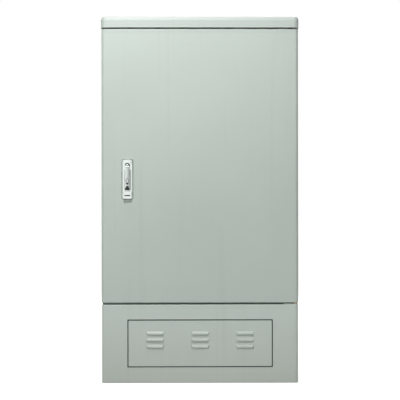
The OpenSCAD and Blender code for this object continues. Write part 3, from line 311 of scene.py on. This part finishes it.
def dulled_metal(name, fresh, dull, roughness):
    """Copper or bronze that has dulled in patches."""
    material, shader, place = new_finish(name, fresh, roughness, metallic=1.0)
    tree = material.node_tree
    patches = noise(tree, place, scale=38, detail=5, roughness=0.62)
    tree.links.new(ramp(tree, patches, (0.38, fresh), (0.66, dull)),
                   shader.inputs["Base Color"])
    tree.links.new(spread(tree, patches, roughness - 0.06, roughness + 0.22, start=0.3, end=0.8),
                   shader.inputs["Roughness"])
    lines = noise(tree, stretched(tree, place, (30, 700, 700)), scale=1.0)
    relief(tree, shader, lines, strength=0.10, depth=0.0002)
    return material


FINISHES = {
    "paint_door": powder_coat("door_paint", srgb(190, 201, 193), darker_at_ground=0.0),
    "paint_roof": powder_coat("roof_paint", srgb(189, 199, 192), darker_at_ground=0.0, gloss=0.40),
    # The plinth's paint is a paler copy of the door's: painted light that makes up for the dimmer
    # light low on the cabinet.
    "paint_plinth": powder_coat("plinth_paint", srgb(199, 209, 201), darker_at_ground=0.26),
    "paint_body": textured_coat("body_paint", srgb(191, 202, 193)),
    "paint_inner": textured_coat("inner_paint", srgb(180, 190, 182)),
    "zinc": plated_steel("zinc_plate", srgb(196, 198, 199), 0.34, spangle=0.55),
    "steel_pin": plated_steel("bright_steel", srgb(188, 189, 190), 0.26),
    "steel_gear": plated_steel("greased_steel", srgb(132, 132, 133), 0.38),
    "zinc_casting": cast_metal("zinc_casting", srgb(168, 169, 171)),
    # The faint green tint of this chrome and of the darker copy for the lever is a painted
    # reflection of the cabinet's green paint.
    "chrome_satin": chrome("satin_chrome", srgb(217, 223, 219), 0.28),
    "cover_metal": chrome("cover_chrome", srgb(188, 190, 190), 0.34),
    "rivet_dark": plated_steel("black_rivet", srgb(52, 52, 53), 0.42),
    "black_plastic": moulded_plastic("black_polyamide", srgb(24, 25, 27), 0.55),
    "grey_plastic": moulded_plastic("grey_polyamide", srgb(138, 142, 146), 0.5),
    "pocket_plastic": moulded_plastic("cream_plastic", srgb(214, 210, 196), 0.42, grain=0.1),
    "insulator_red": moulded_plastic("red_resin", srgb(128, 44, 34), 0.4, grain=0.12),
    "copper": dulled_metal("copper_bar", srgb(205, 132, 98), srgb(140, 86, 66), 0.32),
    "bronze": dulled_metal("sintered_bronze", srgb(188, 150, 84), srgb(140, 112, 66), 0.42),
    "rubber": foam_rubber("black_rubber", srgb(34, 35, 36)),
    "mesh": plated_steel("screen_zinc", srgb(120, 122, 122), 0.5, spangle=0.3),
}
# A darker copy of the satin chrome for the lever and its hub: painted shade of the lever's curved
# face and a dimmed highlight on the hub.
SHADED_CHROME_NODES = ("lever", "handle_spindle")
SHADED_CHROME = chrome("chrome_painted_shade", srgb(184, 192, 187), 0.33)


def paint_frame():
    """Gives each CAD node the finish of its slot in the record. The lever and its hub have a
    darker copy of the chrome, with painted shade for the lever's curved face and the hub."""
    for entry in frame["record"]["subparts"]:
        finish = FINISHES[entry["material_slot"]]
        if entry["node"] in SHADED_CHROME_NODES:
            finish = SHADED_CHROME
        for slot in frame["nodes"][entry["node"]].material_slots:
            slot.material = finish


def select_only(piece):
    """Nothing but this piece is selected, and it is the active one."""
    bpy.ops.object.select_all(action="DESELECT")
    piece.select_set(True)
    bpy.context.view_layer.objects.active = piece


def apply_place(piece):
    """Puts the piece's place, turn and size into its mesh."""
    select_only(piece)
    bpy.ops.object.transform_apply(location=True, rotation=True, scale=True)


def edit_edges(piece, wanted):
    """Opens the piece in edit mode with the edges selected whose two ends are wanted."""
    select_only(piece)
    bpy.ops.object.mode_set(mode="EDIT")
    bpy.ops.mesh.select_mode(type="EDGE")
    bpy.ops.mesh.select_all(action="DESELECT")
    bpy.ops.object.mode_set(mode="OBJECT")
    for edge in piece.data.edges:
        edge.select = all(wanted(piece.data.vertices[i].co) for i in edge.vertices)
    bpy.ops.object.mode_set(mode="EDIT")


def edit_top_face(piece, top):
    """Opens the piece in edit mode with the face at the height top selected."""
    select_only(piece)
    bpy.ops.object.mode_set(mode="EDIT")
    bpy.ops.mesh.select_mode(type="FACE")
    bpy.ops.mesh.select_all(action="DESELECT")
    bpy.ops.object.mode_set(mode="OBJECT")
    for face in piece.data.polygons:
        face.select = face.normal.z > 0.99 and abs(face.center.z - top) < 1e-6
    bpy.ops.object.mode_set(mode="EDIT")


def new_block(length, width, height, middle):
    """Block round the Z axis whose middle is at the given height."""
    bpy.ops.object.select_all(action="DESELECT")
    bpy.ops.mesh.primitive_cube_add(size=1, location=(0, 0, middle))
    block = bpy.context.object
    block.scale = (length, width, height)
    apply_place(block)
    return block


def round_disc(radius, height, edge, sides):
    """Disc on the ground plane whose upper rim is rounded."""
    bpy.ops.object.select_all(action="DESELECT")
    bpy.ops.mesh.primitive_cylinder_add(vertices=sides, radius=radius, depth=height,
                                        location=(0, 0, height / 2))
    piece = bpy.context.object
    apply_place(piece)
    edit_edges(piece, lambda v: v.z > height - 1e-6)
    bpy.ops.mesh.bevel(offset=edge, segments=3, affect="EDGES")
    bpy.ops.object.mode_set(mode="OBJECT")
    return piece


def cut_slot(piece, length, width, depth, top):
    """Cuts a straight slot of the given depth across the piece's top."""
    cutter = new_block(length, width, 2 * depth, middle=top)
    select_only(piece)
    cut = piece.modifiers.new("slot", "BOOLEAN")
    cut.operation = "DIFFERENCE"
    cut.solver = "EXACT"
    cut.object = cutter
    bpy.ops.object.modifier_apply(modifier=cut.name)
    bpy.data.objects.remove(cutter, do_unlink=True)


def smooth_by_angle(piece):
    """Shades the piece smooth but for its edges of more than 35 degrees."""
    select_only(piece)
    bpy.ops.object.shade_smooth_by_angle(angle=math.radians(35))


def turned(piece, about_x=0.0, about_z=0.0):
    """Turns the piece's mesh about the origin, in degrees."""
    piece.rotation_euler = (math.radians(about_x), 0, math.radians(about_z))
    apply_place(piece)


def slotted_head(radius, height, edge, sides, slot, turn):
    """Screw head that faces the front. slot is its length, width and depth, and turn its
    angle in degrees."""
    head = round_disc(radius, height, edge, sides)
    cut_slot(head, *slot, top=height)
    turned(head, about_z=turn)
    turned(head, about_x=90)
    smooth_by_angle(head)
    return head


def fitted(piece, body, slot):
    """Gives a finished piece the slot's finish and lets it ride on the body."""
    piece.data.materials.clear()
    piece.data.materials.append(FINISHES[slot])
    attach(piece, body)


def placed_copies(model, name, body, slot, places):
    """Copies of the model at the places, each with its own mesh; the model itself goes."""
    for number, place in enumerate(places, 1):
        piece = model.copy()
        piece.data = model.data.copy()
        piece.name = f"{name}_{number:02d}"
        piece.data.transform(Matrix.Translation(place))
        bpy.context.scene.collection.objects.link(piece)
        fitted(piece, body, slot)
    bpy.data.objects.remove(model, do_unlink=True)


def terminal_places(rises):
    """Places on the front of each terminal, at some distances above its middle."""
    low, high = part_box("terminal_blocks")
    first_x = low[0] + TERMINAL_W / 2
    middle = (low[2] + high[2]) / 2
    return [(first_x + i * TERMINAL_PITCH, low[1] + TERMINAL_SINK, middle + rise)
            for i in range(TERMINAL_COUNT) for rise in rises]


def terminal_screws():
    """Slotted clamping screws, two on the front of each terminal."""
    head = slotted_head(radius=0.0030, height=0.0011, edge=0.0004, sides=28,
                        slot=(0.0046, 0.0008, 0.0007), turn=24)
    placed_copies(head, "terminal_screw", "cabinet", "zinc",
                  terminal_places((-TERMINAL_SCREW_RISE, TERMINAL_SCREW_RISE)))


def terminal_tags():
    """Blank marker tags, one in the middle of each terminal, with a raised rim."""
    thickness = 0.0012
    tag = new_block(length=0.0082, width=0.0086, height=thickness, middle=thickness / 2)
    edit_edges(tag, lambda v: v.z > thickness - 1e-6)
    bpy.ops.mesh.bevel(offset=0.0003, segments=2, affect="EDGES")
    bpy.ops.object.mode_set(mode="OBJECT")
    edit_top_face(tag, thickness)
    bpy.ops.mesh.inset(thickness=0.0007, depth=-0.0003)
    bpy.ops.object.mode_set(mode="OBJECT")
    turned(tag, about_x=90)
    smooth_by_angle(tag)
    placed_copies(tag, "terminal_tag", "cabinet", "pocket_plastic", terminal_places((0.0,)))


def rail_screws():
    """Four slotted pan head screws that hold the two top hat rails."""
    low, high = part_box("din_rails")
    head = slotted_head(radius=0.0050, height=0.0032, edge=0.0013, sides=40,
                        slot=(0.012, 0.0013, 0.0015), turn=-35)
    places = [(x, high[1] - DIN_RAIL_T, z) for x in (-RAIL_SCREW_X, RAIL_SCREW_X)
              for z in (low[2] + DIN_RAIL_H / 2, high[2] - DIN_RAIL_H / 2)]
    placed_copies(head, "rail_screw", "cabinet", "zinc", places)


def stiffener_welds():
    """Spot welds along the flanges of the door's two stiffeners: shallow dished rings."""
    low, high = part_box("door_stiffeners")
    height = 0.0004
    weld = round_disc(radius=0.0034, height=height, edge=0.0002, sides=32)
    edit_top_face(weld, height)
    bpy.ops.mesh.inset(thickness=0.0006, depth=0)
    bpy.ops.mesh.inset(thickness=0.0008, depth=-0.00025)
    bpy.ops.object.mode_set(mode="OBJECT")
    turned(weld, about_x=-90)
    smooth_by_angle(weld)
    pitch = (high[2] - low[2] - 2 * WELD_END) / (WELDS_IN_ROW - 1)
    rows = [low[2] + WELD_END + k * pitch for k in range(WELDS_IN_ROW)]
    half_w = HAT_W / 2 + FLANGE_W
    aside = HAT_W / 2 + FLANGE_W / 2
    y = low[1] + FLANGE_T - WELD_SINK
    places = [(middle + s * aside, y, z)
              for middle in (low[0] + half_w, high[0] - half_w) for s in (-1, 1) for z in rows]
    placed_copies(weld, "spot_weld", "door", "paint_inner", places)


def edging_ring(half_w, half_h, middle, corner, front, band, depth):
    """Rounded rectangular ring that faces the front. Its face is band wide and stands at the
    place front, its wall reaches depth behind that, and middle is the height of its centre."""
    bpy.ops.object.select_all(action="DESELECT")
    bpy.ops.mesh.primitive_plane_add(size=1, location=(0, front, middle),
                                     rotation=(math.radians(90), 0, 0))
    ring = bpy.context.object
    ring.scale = (2 * half_w, 2 * half_h, 1)
    apply_place(ring)
    bpy.ops.object.mode_set(mode="EDIT")
    bpy.ops.mesh.select_all(action="SELECT")
    bpy.ops.mesh.bevel(offset=corner, segments=6, affect="VERTICES")
    bpy.ops.mesh.select_mode(type="FACE")
    bpy.ops.mesh.select_all(action="SELECT")
    bpy.ops.mesh.inset(thickness=band, depth=0)
    bpy.ops.mesh.delete(type="FACE")
    bpy.ops.object.mode_set(mode="OBJECT")
    wall = ring.modifiers.new("wall", "SOLIDIFY")
    wall.thickness = depth
    wall.offset = -1
    bpy.ops.object.modifier_apply(modifier=wall.name)
    rounding = ring.modifiers.new("rounding", "BEVEL")
    rounding.width = 0.0002
    rounding.segments = 2
    rounding.limit_method = "ANGLE"
    rounding.angle_limit = math.radians(60)
    bpy.ops.object.modifier_apply(modifier=rounding.name)
    return ring


def panel_edging():
    """Black rubber edging round the plinth's panel: a thin lip on its face, a leg in the gap."""
    low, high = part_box("vent_panel")
    face_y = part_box("plinth")[0][1]
    past_panel, lip_t, corner = 0.0024, 0.0006, 0.0060
    outline = ((high[0] - low[0]) / 2 + past_panel, (high[2] - low[2]) / 2 + past_panel,
               (low[2] + high[2]) / 2, corner)
    edging = edging_ring(*outline, front=face_y - lip_t, band=0.0034, depth=lip_t)
    leg = edging_ring(*outline, front=face_y, band=0.0023, depth=0.0095)
    select_only(edging)
    leg.select_set(True)
    bpy.ops.object.join()
    edging.name = "panel_edging"
    smooth_by_angle(edging)
    fitted(edging, "cabinet", "rubber")


def seal_lip_and_painted_shadow():
    """Soft lip of the lock's seal, a little wider than the plate, on the door's face. It runs
    wider than the real seal, so its black rubber also stands in as painted shadow along the
    plate's sides.
    """
    low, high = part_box("lock_gasket")
    past_sides, past_ends, lip_t, corner = 0.0013, 0.0010, 0.0016, 0.0048
    lip = edging_ring((high[0] - low[0]) / 2 + past_sides, (high[2] - low[2]) / 2 + past_ends,
                      (low[2] + high[2]) / 2, corner, front=high[1] - lip_t, band=0.0019,
                      depth=lip_t)
    lip.data.transform(Matrix.Translation(((low[0] + high[0]) / 2, 0, 0)))
    lip.name = "seal_lip_and_painted_shadow"
    smooth_by_angle(lip)
    fitted(lip, "door", "rubber")


def white_floor(glow):
    """Pale floor just under the foot that keeps the cabinet's shadow; glow is what a camera
    sees of it unlit."""
    under_foot = 0.0005
    bpy.ops.mesh.primitive_plane_add(size=60, location=(0, 0, -under_foot))
    floor = bpy.context.object
    floor.name = "studio_floor"
    material, shader, place = new_finish("floor_white", grey(0.66), 0.95)
    tree = material.node_tree
    clouds = noise(tree, place, scale=3, detail=2)
    tree.links.new(ramp(tree, clouds, (0.3, grey(0.65)), (0.7, grey(0.67))),
                   shader.inputs["Base Color"])
    shader.inputs["Specular IOR Level"].default_value = 0.0
    shader.inputs["Emission Color"].default_value = grey(1.0)
    path = tree.nodes.new("ShaderNodeLightPath")
    seen = calculated(tree, "MAXIMUM", path.outputs["Is Camera Ray"],
                      path.outputs["Is Glossy Ray"])
    tree.links.new(calculated(tree, "MULTIPLY", seen, glow), shader.inputs["Emission Strength"])
    floor.data.materials.append(material)


def white_surroundings(level, sides, below, mirror_sides):
    """World that looks white. It lights the cabinet at the given level, and less from its two
    sides and from below. Polished metal sees it white in front, and dimmer far to the left
    and to the right."""
    world = bpy.data.worlds.new("studio_world")
    world.use_nodes = True
    bpy.context.scene.world = world
    tree = world.node_tree
    background = tree.nodes["Background"]
    background.inputs["Color"].default_value = grey(1.0)
    direction = tree.nodes.new("ShaderNodeTexCoord").outputs["Generated"]
    split = tree.nodes.new("ShaderNodeSeparateXYZ")
    tree.links.new(direction, split.inputs["Vector"])
    x, z = split.outputs["X"], split.outputs["Z"]
    aside = calculated(tree, "ABSOLUTE", x, 0.0)
    from_sides = spread(tree, aside, level, level * sides, start=0.35, end=0.95)
    from_below = spread(tree, z, below, 1.0, start=-0.4, end=0.6)
    mirrored_left = spread(tree, x, mirror_sides, 1.0, start=-0.85, end=-0.45)
    mirrored_right = spread(tree, x, 1.0, mirror_sides, start=0.04, end=0.42)
    soft = calculated(tree, "MULTIPLY", from_sides, from_below)
    mirrored = calculated(tree, "MULTIPLY", mirrored_left, mirrored_right)
    path = tree.nodes.new("ShaderNodeLightPath")
    seen = calculated(tree, "MAXIMUM", path.outputs["Is Camera Ray"],
                      path.outputs["Is Transmission Ray"])
    strength = blended(tree, path.outputs["Is Glossy Ray"], soft, mirrored)
    tree.links.new(blended(tree, seen, strength, 1.0), background.inputs["Strength"])


def area_light(name, place, aim, width, power):
    """Square soft light at place that points at aim."""
    bpy.ops.object.light_add(type="AREA", location=place)
    light = bpy.context.object
    light.name = name
    light.data.shape = "SQUARE"
    light.data.size = width
    light.data.energy = power
    light.rotation_mode = "QUATERNION"
    light.rotation_quaternion = (Vector(aim) - Vector(place)).to_track_quat("-Z", "Y")


def front_camera():
    """Long lens at half the cabinet's height, straight in front of the door but for the small
    turn and roll that the photograph has."""
    place = (-0.0453, -4.561, 0.70)
    roll, pan = math.radians(0.07), math.radians(-0.59)
    bpy.ops.object.camera_add(location=place)
    camera = bpy.context.object
    camera.data.lens = 103.6
    camera.data.sensor_width = 36
    camera.data.clip_end = 60
    camera.rotation_mode = "XYZ"
    camera.rotation_euler = (math.radians(90), roll, pan)
    bpy.context.scene.camera = camera


paint_frame()
terminal_screws()
terminal_tags()
rail_screws()
stiffener_welds()
panel_edging()
seal_lip_and_painted_shadow()
white_floor(glow=0.82)
white_surroundings(level=0.38, sides=0.15, below=0.45, mirror_sides=0.25)
for lamp in LAMPS:
    area_light(*lamp)
front_camera()

bpy.context.scene.view_settings.view_transform = "Standard"
